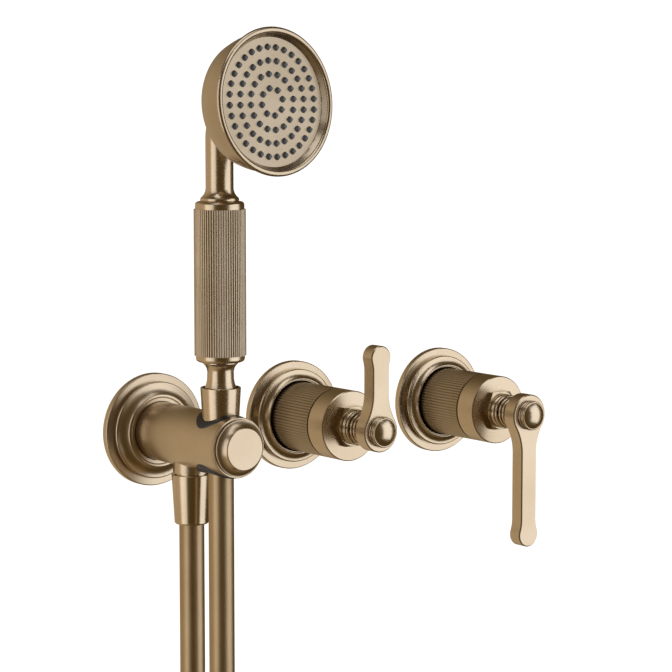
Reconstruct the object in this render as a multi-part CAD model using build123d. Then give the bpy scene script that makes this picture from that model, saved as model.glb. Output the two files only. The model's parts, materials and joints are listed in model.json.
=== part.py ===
from build123d import *
import math
import os

# Wall-mounted trim set: outlet arm with hand shower, diverter valve and mixer valve.
# Millimetres. The wall is the plane y = 0 and the room is on its -Y side. +X is to the right when
# facing the wall, +Z is up. The origin is where the diverter's axis meets the wall.

os.makedirs("parts", exist_ok=True)

# ---------------------------------------------------------------- places on the wall
ARM_X = -107.5
DIVERTER_X = 0.0
MIXER_X = 122.5

# ---------------------------------------------------------------- driving sizes
ARM_R = 18.35
SLEEVE_R = 22.5
HOSE_R = 7.75
NUT_TOP_R = 12.25
HEAD_HEIGHT = 206.1

# ---------------------------------------------------------------- fits and clearances
RUNNING_FIT = 0.06
SLIP_FIT = 0.3
FACE_GAP = 0.05
FREE_GAP = 0.5

# ---------------------------------------------------------------- wall flanges
FLANGE_STEP_R = SLEEVE_R + 8.0
FLANGE_R = FLANGE_STEP_R + 5.0
FLANGE_EDGE = 4.3
FLANGE_EDGE_ROUND = 0.8
FLANGE_CREST = 7.9
FLANGE_CREST_ROUND = 1.0
FLANGE_WALL = 2.4
FLANGE_COLLAR_H = 11.0
ARM_COLLAR_R = ARM_R + 5.05
ARM_COLLAR_LIP_R = ARM_R + 2.35
VALVE_COLLAR_LAND = 0.3
VALVE_COLLAR_WIDTH = 1.5
GASKET_THICK = 1.6
GASKET_OUTER_R = FLANGE_R - 1.8
GASKET_INNER_R = 16.0

# ---------------------------------------------------------------- outlet arm
ARM_BODY_START = 2.0
ARM_WATERWAY_R = 7.0
HOLDER_DEPTH = 78.3
HOLDER_HOLE_R = NUT_TOP_R + 2.55
ARM_BODY_END = HOLDER_DEPTH + HOLDER_HOLE_R + 2.1
OUTLET_DEPTH = 45.6
BOSS_R = 11.3
BOSS_DROP = ARM_R + 2.95
CAP_RING_LEN = 2.2
CAP_GROOVE_LEN = 0.8
CAP_GROOVE_DEPTH = 2.2
CAP_SHOULDER_LEN = 0.8
CAP_SHOULDER_R = ARM_R - 1.2
CAP_COVE_LEN = 4.2
CAP_DISC_R = 12.7
CAP_DISC_LEN = 1.0
CAP_SPIGOT_R = 9.0
CAP_SPIGOT_LEN = 1.4
LINER_PROUD = 0.5
LINER_FOOT = 0.8
HALF_INCH_THREAD_R = 10.48
NIPPLE_IN_ARM_R = 9.6
NIPPLE_BEHIND = 20.0
NIPPLE_IN_ARM = 26.0
GRUB_R = 2.5
GRUB_DEPTH = 20.0

# ---------------------------------------------------------------- outlet nipple and check valve
NIPPLE_SPIGOT_R = 8.6
NIPPLE_SPIGOT_LEN = 10.0
NIPPLE_TAIL_R = 10.2
NIPPLE_TAIL_LEN = 11.5
NUT_STAND_OFF = 1.0
NIPPLE_BORE_R = 7.0
CHECK_WALL = 0.9
CHECK_LEN = 17.0
CHECK_SEAT_R = 3.4
POPPET_HEAD_R = 4.6
POPPET_HEAD_LEN = 1.6
POPPET_STEM_R = 1.2
POPPET_STEM_LEN = 12.0
CHECK_GUIDE_H = 3.0
SPRING_R = 2.6
SPRING_WIRE_R = 0.3
SPRING_TURNS = 4

# ---------------------------------------------------------------- hose and its nuts
HOSE_COIL_R = 90.0
HOSE_COIL_Z = -306.0
TIE_WIDTH = 16.0
TIE_THICK = 2.0
NUT_TAPER = 0.0567
NUT_LEN = 31.0
NUT_MOUTH_R = HOSE_R + 0.35
NUT_LIP = 3.0
WASHER_THICK = 2.0
INSERT_FLANGE_R = 9.4
INSERT_FLANGE_LEN = 2.2
INSERT_BARB_R = 5.0
INSERT_BORE_R = 3.2

# ---------------------------------------------------------------- hand shower
HANDSET_TURN = 5.0
HAND_NUT_TOP = 34.7
HAND_CUP_DEPTH = 3.9
HAND_CUP_R = 11.1
NECK_FOOT_R = 9.5
NECK_WAIST_R = 8.1
NECK_WAIST_Z = 42.3
LOWER_FERRULE_Z = 50.2
LOWER_FERRULE_R = 14.75
LOWER_FERRULE_LEN = 3.9
LOWER_FERRULE_STEP = 1.9
GRIP_R = 15.6
GRIP_LEN = 87.7
GRIP_FLUTES = 60
GRIP_FLUTE_DEPTH = 0.35
GRIP_WALL = 2.6
TUBE_R = 7.5
TUBE_BORE_R = 5.5
UPPER_FERRULE_LEN = 4.6
UPPER_FERRULE_R = 14.75
COLLAR_R = 11.4
COLLAR_LEN = 2.4
NECK_R = 8.35
NECK_FLARE_LEN = 6.0
NECK_BEND_R = 20.0

# ---------------------------------------------------------------- shower head, behind its front plane
HEAD_REACH = 53.6
HEAD_TILT = 4.2
RIM_R = 43.3
RIM_EDGE_LEN = 2.2
RIM_INNER_R = 39.6
RIM_LIP_DEPTH = 1.6
RIM_SKIRT_R = 38.6
RIM_BEAD_R = 42.2
RIM_BEAD_LEN = 2.8
SHELL_FRONT_R = 41.0
SHELL_BACK_R = 38.2
SHELL_BACK_DEPTH = 20.5
SHELL_CROWN_DEPTH = 31.0
SHELL_SHOULDER_R = 30.0
SHELL_WALL = 2.0
SHELL_BOSS_R = 11.0
PLATE_R = 37.6
PLATE_DEPTH = 4.6
PLATE_THICK = 1.6
MAT_THICK = 1.8
SEAL_THICK = 1.6
NOZZLE_BASE_R = 1.9
NOZZLE_TIP_R = 1.0
NOZZLE_PROUD = 1.9
NOZZLE_RINGS = [(8, 8.0), (16, 16.2), (24, 24.0), (32, 31.8)]

# ---------------------------------------------------------------- valves, depths in front of the wall
SLEEVE_START = 3.0
SLEEVE_END = 49.0
SLEEVE_WALL = 2.9
SLEEVE_RIBS = 72
SLEEVE_RIB_DEPTH = 0.45
FRONT_CAP_START = 50.2
FRONT_CAP_END = 65.8
FRONT_CAP_EDGE = 0.6
FRONT_CAP_FACE = 4.0
FRONT_CAP_SPIGOT = 4.0
VALVE_FLANGE_GAP = 0.9
HEX_FLATS = 24.8
HEX_TURNED_R = 14.15
HEX_LEN = 3.9
GLAND_COLLAR_R = 11.4
GLAND_COLLAR_LEN = 6.8
GLAND_GROOVE_DEPTH = 0.8
THREE_QUARTER_THREAD_R = 13.2
CARTRIDGE_BEHIND = 20.0
CARTRIDGE_LAND = 4.0
CARTRIDGE_LAND_R = 18.0
CARTRIDGE_BARREL_R = 15.0
CARTRIDGE_BARREL_END = 44.0
CARTRIDGE_NOSE_R = 9.9
CHAMBER_R = 11.2
CHAMBER_START = 17.0
CHAMBER_END = 33.0
INLET_R = 8.0
SEAT_SEAL_THICK = 3.0
DISC_THICK = 3.5
DISC_TONGUE = 1.4
DISC_TONGUE_W = 3.0
DISC_TONGUE_L = 14.0
SPINDLE_FLANGE_LEN = 3.4
SPINDLE_R = 6.0
O_RING_R = 1.2
O_RING_DEPTHS = [40.0, 46.0]
STEM_RINGS = [(10.2, 2.2, 0.5), (9.8, 2.2, 0.9), (9.0, 2.0, 0.0)]
STEM_BEAD_RISE = 0.6
STEM_GROOVE_DEPTH = 1.2
STEM_NECK_R = 7.2
LEVER_BACK = 87.5
LEVER_THICK = 9.8
LEVER_EDGE = 0.7
LEVER_RECESS_R = 10.1
LEVER_RECESS_DEPTH = 0.6
DRIVE_FLATS = 8.0
TIP_THREAD_R = 3.0
TIP_THREAD_LEN = 2.0
FRONT_COLLAR_R = 9.6
FRONT_COLLAR_LEN = 3.1
CAP_NUT_R = 9.5
CAP_NUT_RIM = 1.7
CAP_NUT_DOME = 3.0

# lever shapes: hub radius, half blade width, paddle radius, paddle centre, blends at hub and paddle
DIVERTER_LEVER = dict(hub=13.0, half=6.2, paddle=7.5, reach=46.4, hub_blend=34.0, paddle_blend=22.0)
MIXER_LEVER = dict(hub=13.6, half=6.3, paddle=8.0, reach=79.3, hub_blend=34.0, paddle_blend=22.0)

# sagitta share of a quarter round: how far its middle lies inside the square corner
QUARTER_ROUND = 1 - math.cos(math.radians(45))

pieces = {}


# ================================================================ helpers
def turned(*outline):
    """Solid turned about local Z. A point is (radius, height); an arc is (middle r, z, end r, z)."""
    edges = []
    here = outline[0]
    for step in outline[1:] + (outline[0],):
        there = step[-2:]
        if len(step) == 4:
            edges.append(ThreePointArc((here[0], 0, here[1]), (step[0], 0, step[1]), (there[0], 0, there[1])))
        else:
            edges.append(Line((here[0], 0, here[1]), (there[0], 0, there[1])))
        here = there
    return revolve(Face(Wire(edges)), Axis.Z, 360)


def dome(radius, low, rise):
    """Arc step that closes an outline with a shallow dome over its axis."""
    sphere = (radius ** 2 + rise ** 2) / (2 * rise)
    middle = radius / 2
    drop = sphere - math.sqrt(sphere ** 2 - middle ** 2)
    return middle, low + rise - drop, 0, low + rise


def ring(outer, inner, low, high):
    """Plain ring about local Z."""
    return turned((inner, low), (outer, low), (outer, high), (inner, high))


def ribbed(radius, depth, count, low, high):
    """Cylinder with fine rounded ribs along it, between two heights."""
    half = math.pi / count
    edges = []
    valley = Vector(radius - depth, 0)
    for rib in range(count):
        middle = 2 * half * rib
        start = valley.rotate(Axis.Z, math.degrees(middle - half))
        crest = Vector(radius, 0).rotate(Axis.Z, math.degrees(middle))
        end = valley.rotate(Axis.Z, math.degrees(middle + half))
        edges.append(ThreePointArc(start, crest, end))
    return Pos(0, 0, low) * extrude(Face(Wire(edges)), high - low)


def keep(name, solid):
    """Store one finished piece under its own name."""
    pieces[name] = solid


def on_wall(x):
    """Frame whose local Z points out of the wall at height zero."""
    return Pos(x, 0, 0) * Rot(90, 0, 0)


# ================================================================ wall flanges
def wall_flange(bore, collar_r, lip_r):
    """Stepped flange: rim, step, cove and a small collar around what passes through."""
    crest = FLANGE_CREST
    edge = FLANGE_EDGE
    rounding = FLANGE_EDGE_ROUND
    cove_start = FLANGE_STEP_R - FLANGE_CREST_ROUND
    under = FLANGE_CREST - FLANGE_WALL
    cove_r = (cove_start + collar_r) / 2 - 0.4
    return turned(
        (GASKET_OUTER_R, 0),
        (FLANGE_R, 0),
        (FLANGE_R, edge - rounding),
        (FLANGE_R - QUARTER_ROUND * rounding, edge - QUARTER_ROUND * rounding, FLANGE_R - rounding, edge),
        (FLANGE_STEP_R, edge),
        (FLANGE_STEP_R, crest - FLANGE_CREST_ROUND),
        (FLANGE_STEP_R - QUARTER_ROUND * FLANGE_CREST_ROUND, crest - QUARTER_ROUND * FLANGE_CREST_ROUND,
         cove_start, crest),
        (cove_r, (crest + FLANGE_COLLAR_H) / 2 - 0.7, collar_r, FLANGE_COLLAR_H - 0.4),
        ((collar_r + lip_r) / 2, FLANGE_COLLAR_H + 0.5, lip_r, FLANGE_COLLAR_H),
        (lip_r, FLANGE_COLLAR_H - 0.5),
        (bore, FLANGE_COLLAR_H - 0.5),
        (bore, FLANGE_CREST - 0.9),
        (FLANGE_STEP_R - FLANGE_WALL - 1.5, FLANGE_CREST - 0.9),
        (FLANGE_STEP_R - FLANGE_WALL, under),
        (FLANGE_STEP_R - FLANGE_WALL, GASKET_THICK),
        (GASKET_OUTER_R, GASKET_THICK),
    )


def wall_gasket():
    """Soft ring that sits in the recess behind a flange."""
    return ring(GASKET_OUTER_R - 0.1, GASKET_INNER_R, 0, GASKET_THICK)


# ================================================================ outlet arm
arm = on_wall(ARM_X)
holder_axis = Pos(ARM_X, -HOLDER_DEPTH, 0)
outlet_axis = Pos(ARM_X, -OUTLET_DEPTH, 0)

arm_flange_bore = ARM_R + SLIP_FIT + 0.1
keep("outlet_flange", arm * wall_flange(arm_flange_bore, ARM_COLLAR_R, ARM_COLLAR_LIP_R))
keep("outlet_wall_gasket", arm * wall_gasket())

# the arm: a plain round bar with a waterway, the holder's cross hole and the outlet boss
arm_bar = arm * Pos(0, 0, ARM_BODY_START) * Cylinder(
    ARM_R, ARM_BODY_END - ARM_BODY_START, align=(Align.CENTER, Align.CENTER, Align.MIN))
boss = outlet_axis * Pos(0, 0, -BOSS_DROP) * Cylinder(
    BOSS_R, BOSS_DROP, align=(Align.CENTER, Align.CENTER, Align.MIN))
waterway = arm * turned(
    (0, ARM_BODY_START - 1),
    (NIPPLE_IN_ARM_R, ARM_BODY_START - 1),
    (NIPPLE_IN_ARM_R, NIPPLE_IN_ARM),
    (ARM_WATERWAY_R, NIPPLE_IN_ARM),
    (ARM_WATERWAY_R, OUTLET_DEPTH + ARM_WATERWAY_R),
    (0, OUTLET_DEPTH + ARM_WATERWAY_R + 3.5),
)
outlet_bore = outlet_axis * turned(
    (0, -BOSS_DROP - 1),
    (NIPPLE_SPIGOT_R, -BOSS_DROP - 1),
    (NIPPLE_SPIGOT_R, -BOSS_DROP + NIPPLE_SPIGOT_LEN),
    (ARM_WATERWAY_R, -BOSS_DROP + NIPPLE_SPIGOT_LEN),
    (ARM_WATERWAY_R, 0),
    (0, 0),
)
holder_hole = holder_axis * Cylinder(HOLDER_HOLE_R, 4 * ARM_R)
spigot_pocket = arm * Pos(0, 0, ARM_BODY_END - CAP_SPIGOT_LEN) * Cylinder(
    CAP_SPIGOT_R, 2 * CAP_SPIGOT_LEN, align=(Align.CENTER, Align.CENTER, Align.MIN))
grub_hole = arm * Pos(0, 0, GRUB_DEPTH) * Rot(90, 0, 0) * Cylinder(
    GRUB_R, ARM_R + 1, align=(Align.CENTER, Align.CENTER, Align.MIN))
keep("arm_body", arm_bar + boss - waterway - outlet_bore - holder_hole - spigot_pocket - grub_hole)

grub_len = ARM_R - NIPPLE_IN_ARM_R - 1.2
grub_screw = Cylinder(GRUB_R, grub_len, align=(Align.CENTER, Align.CENTER, Align.MIN))
grub_screw -= Pos(0, 0, grub_len - 2.4) * extrude(RegularPolygon(1.25, 6, major_radius=False), 3)
keep("arm_grub_screw", arm * Pos(0, 0, GRUB_DEPTH) * Rot(90, 0, 0) * Pos(0, 0, NIPPLE_IN_ARM_R) * grub_screw)

# inlet nipple: threaded end for the wall fitting, plain end held in the arm by the grub screw
keep("wall_inlet_nipple", arm * turned(
    (ARM_WATERWAY_R, -NIPPLE_BEHIND),
    (HALF_INCH_THREAD_R, -NIPPLE_BEHIND),
    (HALF_INCH_THREAD_R, ARM_BODY_START),
    (NIPPLE_IN_ARM_R, ARM_BODY_START),
    (NIPPLE_IN_ARM_R, NIPPLE_IN_ARM),
    (ARM_WATERWAY_R, NIPPLE_IN_ARM),
))

# end cap: ring, deep groove, shoulder, and a cove that rises to a flat disc
groove_start = ARM_BODY_END + CAP_RING_LEN
shoulder_start = groove_start + CAP_GROOVE_LEN
cove_start = shoulder_start + CAP_SHOULDER_LEN
disc_start = cove_start + CAP_COVE_LEN
keep("arm_end_cap", arm * turned(
    (0, ARM_BODY_END - CAP_SPIGOT_LEN),
    (CAP_SPIGOT_R, ARM_BODY_END - CAP_SPIGOT_LEN),
    (CAP_SPIGOT_R, ARM_BODY_END),
    (ARM_R - 0.3, ARM_BODY_END),
    (ARM_R, ARM_BODY_END + 0.4),
    (ARM_R, groove_start - 0.4),
    (ARM_R - 0.4, groove_start),
    (ARM_R - CAP_GROOVE_DEPTH, groove_start),
    (ARM_R - CAP_GROOVE_DEPTH, shoulder_start),
    (CAP_SHOULDER_R - 0.3, shoulder_start),
    (CAP_SHOULDER_R, shoulder_start + 0.3),
    (CAP_SHOULDER_R - 0.1, cove_start - 0.1, CAP_SHOULDER_R - 0.5, cove_start),
    ((CAP_SHOULDER_R + CAP_DISC_R) / 2 - 0.6, cove_start + 0.42 * CAP_COVE_LEN, CAP_DISC_R, disc_start),
    (CAP_DISC_R, disc_start + CAP_DISC_LEN - 0.3),
    (CAP_DISC_R - 0.3, disc_start + CAP_DISC_LEN),
    (0, disc_start + CAP_DISC_LEN),
))


# ================================================================ tapered nut, used at both hose ends
def nut_radius(below_top):
    """Outer radius of a hose nut at a distance below its top."""
    return NUT_TOP_R - NUT_TAPER * below_top


# holder liner: follows the round of the arm, bored to the taper of the nut that drops in
liner_outer_r = HOLDER_HOLE_R - 0.1


def liner_bore_radius(z):
    return nut_radius(HAND_NUT_TOP - z) + SLIP_FIT


liner_low = -ARM_R - LINER_FOOT
liner_blank = holder_axis * Pos(0, 0, liner_low) * Cylinder(
    liner_outer_r, 2 * ARM_R + LINER_FOOT, align=(Align.CENTER, Align.CENTER, Align.MIN))
liner_envelope = arm * Pos(0, 0, HOLDER_DEPTH - 2 * HOLDER_HOLE_R) * Cylinder(
    ARM_R + LINER_PROUD, 4 * HOLDER_HOLE_R, align=(Align.CENTER, Align.CENTER, Align.MIN))
liner_foot = holder_axis * Pos(0, 0, liner_low) * Cylinder(
    liner_outer_r, ARM_R + LINER_FOOT, align=(Align.CENTER, Align.CENTER, Align.MIN))
liner_foot &= arm * Pos(0, 0, HOLDER_DEPTH - 2 * HOLDER_HOLE_R) * Cylinder(
    ARM_R + LINER_FOOT, 4 * HOLDER_HOLE_R, align=(Align.CENTER, Align.CENTER, Align.MIN))
liner_bore = holder_axis * turned(
    (0, liner_low - 1),
    (liner_bore_radius(liner_low - 1), liner_low - 1),
    (liner_bore_radius(ARM_R + 1), ARM_R + 1),
    (0, ARM_R + 1),
)
keep("holder_liner", (liner_blank & liner_envelope) + liner_foot - liner_bore)

# ================================================================ outlet nipple and check valve
nipple_top = -BOSS_DROP + NIPPLE_SPIGOT_LEN
nipple_low = -BOSS_DROP - NIPPLE_TAIL_LEN
check_top = nipple_top - 0.5
check_low = check_top - CHECK_LEN
keep("outlet_nipple", outlet_axis * turned(
    (NIPPLE_BORE_R, nipple_low + 3.0),
    (NIPPLE_BORE_R - 1.2, nipple_low + 3.0),
    (NIPPLE_BORE_R - 1.2, nipple_low),
    (NIPPLE_TAIL_R, nipple_low),
    (NIPPLE_TAIL_R, -BOSS_DROP),
    (NIPPLE_SPIGOT_R, -BOSS_DROP),
    (NIPPLE_SPIGOT_R, nipple_top),
    (NIPPLE_BORE_R, nipple_top),
))

check_outer_r = NIPPLE_BORE_R - 0.05
check_inner_r = check_outer_r - CHECK_WALL
seat_low = check_top - 2.0
guide_top = check_low + CHECK_GUIDE_H
guide_bore_r = POPPET_STEM_R + RUNNING_FIT
guide_ring = ring(guide_bore_r + 1.1, guide_bore_r, check_low, guide_top)
guide_arm = Pos(0, 0, check_low) * Box(
    2 * check_inner_r + 0.4, 1.2, CHECK_GUIDE_H, align=(Align.CENTER, Align.CENTER, Align.MIN))
guide_arms = guide_arm + Rot(0, 0, 90) * guide_arm - Cylinder(guide_bore_r, 4 * CHECK_LEN)
check_tube = turned(
    (check_inner_r, check_low),
    (check_outer_r, check_low),
    (check_outer_r, check_top),
    (CHECK_SEAT_R, check_top),
    (CHECK_SEAT_R, seat_low),
    (check_inner_r, seat_low),
)
keep("check_valve_housing", outlet_axis * (check_tube + guide_ring + guide_arms))

poppet_top = seat_low - FACE_GAP
poppet_under = poppet_top - POPPET_HEAD_LEN
keep("check_valve_poppet", outlet_axis * turned(
    (0, poppet_under - POPPET_STEM_LEN),
    (POPPET_STEM_R, poppet_under - POPPET_STEM_LEN),
    (POPPET_STEM_R, poppet_under),
    (POPPET_HEAD_R, poppet_under),
    (POPPET_HEAD_R, poppet_top - 0.6),
    (CHECK_SEAT_R, poppet_top),
    (0, poppet_top),
))

spring_low = guide_top + SPRING_WIRE_R + 0.05
spring_high = poppet_under - SPRING_WIRE_R - 0.05
spring_pitch = (spring_high - spring_low) / SPRING_TURNS
spring_path = Helix(spring_pitch, spring_high - spring_low, SPRING_R)
spring_plane = Plane(origin=spring_path @ 0, z_dir=spring_path % 0)
keep("check_valve_spring", outlet_axis * Pos(0, 0, spring_low) * sweep(
    spring_plane * Circle(SPRING_WIRE_R), path=spring_path))


# ================================================================ hose ends
def washer_seat(top, cup_depth):
    """Height of the face that the washer under a hose nut seals on."""
    return top - cup_depth - (NIPPLE_TAIL_LEN - NUT_STAND_OFF)


def insert_top(top, cup_depth):
    """Height of the top of the hose insert's flange."""
    return washer_seat(top, cup_depth) - WASHER_THICK - FACE_GAP


def hose_start(top):
    """Height where the hose's outer tube begins inside its nut."""
    return top - NUT_LEN + NUT_LIP + 1.0


def hose_nut(top, cup_depth):
    """Tapered nut: cup, thread, bore for the insert's flange and a mouth for the hose."""
    low = top - NUT_LEN
    flange_bore = INSERT_FLANGE_R + RUNNING_FIT
    flange_high = washer_seat(top, cup_depth) - WASHER_THICK
    flange_low = insert_top(top, cup_depth) - INSERT_FLANGE_LEN - FACE_GAP
    cup_r = HAND_CUP_R if cup_depth else NIPPLE_TAIL_R
    outline = [
        (NUT_MOUTH_R, low + 0.6),
        (NUT_MOUTH_R + 0.6, low),
        (nut_radius(NUT_LEN) - 1.2, low),
        (nut_radius(NUT_LEN) - 0.35, low + 0.35, nut_radius(NUT_LEN - 1.2), low + 1.2),
        (nut_radius(0.3), top - 0.3),
        (nut_radius(0) - 0.3, top),
        (cup_r, top),
    ]
    if cup_depth:
        outline += [(cup_r, top - cup_depth), (NIPPLE_TAIL_R, top - cup_depth)]
    outline += [
        (NIPPLE_TAIL_R, flange_high),
        (flange_bore, flange_high),
        (flange_bore, flange_low),
        (NUT_MOUTH_R, flange_low),
    ]
    return turned(*outline)


def hose_insert(top, cup_depth):
    """Flanged insert whose barb ends where the hose's outer tube begins."""
    flange_top = insert_top(top, cup_depth)
    flange_low = flange_top - INSERT_FLANGE_LEN
    return turned(
        (INSERT_BORE_R, hose_start(top)),
        (INSERT_BARB_R, hose_start(top)),
        (INSERT_BARB_R, flange_low),
        (INSERT_FLANGE_R, flange_low),
        (INSERT_FLANGE_R, flange_top),
        (INSERT_BORE_R, flange_top),
    )


def hose_washer(top, cup_depth):
    """Flat washer between an insert's flange and the face that it seals on."""
    high = washer_seat(top, cup_depth)
    return ring(NIPPLE_TAIL_R - 0.2, INSERT_BORE_R + 1, high - WASHER_THICK, high)


outlet_nut_top = -BOSS_DROP - NUT_STAND_OFF
keep("outlet_hose_nut", outlet_axis * hose_nut(outlet_nut_top, 0))
keep("outlet_hose_washer", outlet_axis * hose_washer(outlet_nut_top, 0))
keep("outlet_hose_insert", outlet_axis * hose_insert(outlet_nut_top, 0))
keep("hand_hose_insert", holder_axis * hose_insert(HAND_NUT_TOP, HAND_CUP_DEPTH))

# ================================================================ hose: fall, coil, rise and tie
# The hose falls from the outlet, swings left into a coil that hangs between the two hose planes,
# and leaves it on the right to rise through the holder.
fall_points = [
    (ARM_X, -OUTLET_DEPTH, hose_start(outlet_nut_top)),
    (ARM_X, -OUTLET_DEPTH, -174.0),
    (ARM_X - 29.1, -OUTLET_DEPTH, -224.4),
]
rise_points = [
    (ARM_X, -HOLDER_DEPTH, hose_start(HAND_NUT_TOP)),
    (ARM_X, -HOLDER_DEPTH, -174.0),
    (ARM_X + 29.1, -HOLDER_DEPTH, -224.4),
]


def hose_tube(points):
    """Tube along straight runs joined by tangent arcs, and its length."""
    path = [Vector(*point) for point in points]
    runs = [b - a for a, b in zip(path, path[1:])]
    radii = []
    for before, after in zip(runs, runs[1:]):
        half_turn = math.radians(before.get_angle(after) / 2)
        radii.append(0.45 * min(before.length, after.length) / math.tan(half_turn))
    line = FilletPolyline(*path, radius=radii)
    section = Plane(origin=path[0], z_dir=runs[0]) * Circle(HOSE_R)
    tube = sweep(section, path=line)
    straight_tube = math.pi * HOSE_R ** 2 * line.length
    print("hose radii", [round(r, 1) for r in radii], "volume ratio", round(tube.volume / straight_tube, 4))
    return tube


coil_depth = (OUTLET_DEPTH + HOLDER_DEPTH) / 2
coil_half = (HOLDER_DEPTH - OUTLET_DEPTH) / 2 + HOSE_R
coil = Pos(ARM_X, 0, HOSE_COIL_Z) * Rot(90, 0, 0) * ring(
    HOSE_COIL_R + HOSE_R, HOSE_COIL_R - HOSE_R, coil_depth - coil_half, coil_depth + coil_half)
keep("hose_coil", coil)
coil_blank = Pos(ARM_X, 0, HOSE_COIL_Z) * Rot(90, 0, 0) * Pos(0, 0, coil_depth - 2 * coil_half) * Cylinder(
    HOSE_COIL_R + HOSE_R, 4 * coil_half, align=(Align.CENTER, Align.CENTER, Align.MIN))
keep("hose_fall", hose_tube(fall_points) - coil_blank)
keep("hose_rise", hose_tube(rise_points) - coil_blank)
tie_block = Pos(ARM_X, -coil_depth, HOSE_COIL_Z - HOSE_COIL_R) * Box(
    TIE_WIDTH, 2 * (coil_half + TIE_THICK), 2 * (HOSE_R + TIE_THICK))
keep("hose_tie", tie_block - coil)

# ================================================================ hand shower
handset = holder_axis * Rot(0, 0, HANDSET_TURN)
neck_seat = washer_seat(HAND_NUT_TOP, HAND_CUP_DEPTH)
neck_foot = HAND_NUT_TOP - HAND_CUP_DEPTH
keep("hand_hose_nut", handset * hose_nut(HAND_NUT_TOP, HAND_CUP_DEPTH))
keep("hand_hose_washer", handset * hose_washer(HAND_NUT_TOP, HAND_CUP_DEPTH))

limiter_low = neck_seat + 1.0
limiter_high = limiter_low + 3.0
keep("flow_limiter", handset * ring(TUBE_R - 0.1, 1.6, limiter_low, limiter_high))

grip_low = LOWER_FERRULE_Z + LOWER_FERRULE_LEN
grip_high = grip_low + GRIP_LEN
collar_low = grip_high + UPPER_FERRULE_LEN
collar_high = collar_low + COLLAR_LEN
spigot_high = grip_low + 8.0
grip_bore = GRIP_R - GRIP_WALL
keep("lower_neck", handset * turned(
    (TUBE_R, neck_seat),
    (NIPPLE_TAIL_R - 0.05, neck_seat),
    (NIPPLE_TAIL_R - 0.05, neck_foot),
    (NECK_FOOT_R, neck_foot),
    (NECK_FOOT_R, HAND_NUT_TOP),
    (NECK_WAIST_R + 0.25, NECK_WAIST_Z - 4.0, NECK_WAIST_R, NECK_WAIST_Z),
    (NECK_WAIST_R + 0.7, NECK_WAIST_Z + 4.6, NECK_FOOT_R + 1.4, LOWER_FERRULE_Z - 0.8),
    (NECK_FOOT_R + 1.4, LOWER_FERRULE_Z),
    (TUBE_R + 1.2, LOWER_FERRULE_Z),
    (TUBE_R + 1.2, LOWER_FERRULE_Z - 3.0),
    (TUBE_BORE_R, LOWER_FERRULE_Z - 3.0),
    (TUBE_BORE_R, limiter_high),
    (TUBE_R, limiter_high),
))
keep("lower_ferrule", handset * turned(
    (TUBE_R + 0.1, LOWER_FERRULE_Z),
    (LOWER_FERRULE_R - LOWER_FERRULE_STEP, LOWER_FERRULE_Z),
    (LOWER_FERRULE_R - 0.4, LOWER_FERRULE_Z + 0.9, LOWER_FERRULE_R, LOWER_FERRULE_Z + 2.4),
    (LOWER_FERRULE_R, grip_low),
    (grip_bore - 0.1, grip_low),
    (grip_bore - 0.1, spigot_high),
    (TUBE_R + 0.1, spigot_high),
))
tube_low = LOWER_FERRULE_Z - 3.0
tube_high = collar_low + 1.0
keep("grip_tube", handset * ring(TUBE_R, TUBE_BORE_R, tube_low, tube_high))
grip_hollow = Pos(0, 0, grip_low - 1) * Cylinder(
    grip_bore, GRIP_LEN + 2, align=(Align.CENTER, Align.CENTER, Align.MIN))
keep("grip_sleeve", handset * (
    ribbed(GRIP_R, GRIP_FLUTE_DEPTH, GRIP_FLUTES, grip_low, grip_high) - grip_hollow))
keep("upper_ferrule", handset * turned(
    (TUBE_R + 0.1, grip_high - 8.0),
    (grip_bore - 0.1, grip_high - 8.0),
    (grip_bore - 0.1, grip_high),
    (UPPER_FERRULE_R, grip_high),
    (UPPER_FERRULE_R, grip_high + 2.6),
    (UPPER_FERRULE_R - 0.5, grip_high + 3.9, UPPER_FERRULE_R - 2.0, collar_low),
    (TUBE_R + 0.1, collar_low),
))

# swan neck: collar and flare, straight stretch, bend, and a spigot in the head's boss
tilt = math.radians(HEAD_TILT)
bend_corner_z = HEAD_HEIGHT - HEAD_REACH * math.tan(tilt)
bend_angle = 90 - HEAD_TILT
bend_tangent = NECK_BEND_R * math.tan(math.radians(bend_angle / 2))
flare_high = collar_high + NECK_FLARE_LEN
crown_gap = HEAD_REACH / math.cos(tilt) - SHELL_CROWN_DEPTH - 3.0
neck_path = FilletPolyline(
    (0, 0, flare_high),
    (0, 0, bend_corner_z),
    (0, -crown_gap * math.cos(tilt), bend_corner_z + crown_gap * math.sin(tilt)),
    radius=NECK_BEND_R)
neck_rod = sweep(Pos(0, 0, flare_high) * Circle(NECK_R), path=neck_path)
neck_hole = sweep(Pos(0, 0, flare_high) * Circle(TUBE_BORE_R), path=neck_path)
neck_base = turned(
    (TUBE_R + 0.1, collar_low),
    (COLLAR_R, collar_low),
    (COLLAR_R + 0.25, (collar_low + collar_high) / 2, COLLAR_R - 0.1, collar_high - 0.2),
    (COLLAR_R - 0.7, collar_high + 0.3),
    (NECK_R + 0.75, collar_high + 0.42 * NECK_FLARE_LEN, NECK_R, flare_high),
    (TUBE_BORE_R, flare_high),
    (TUBE_BORE_R, tube_high),
    (TUBE_R + 0.1, tube_high),
)
keep("swan_neck", handset * (neck_base + (neck_rod - neck_hole)))

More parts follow.
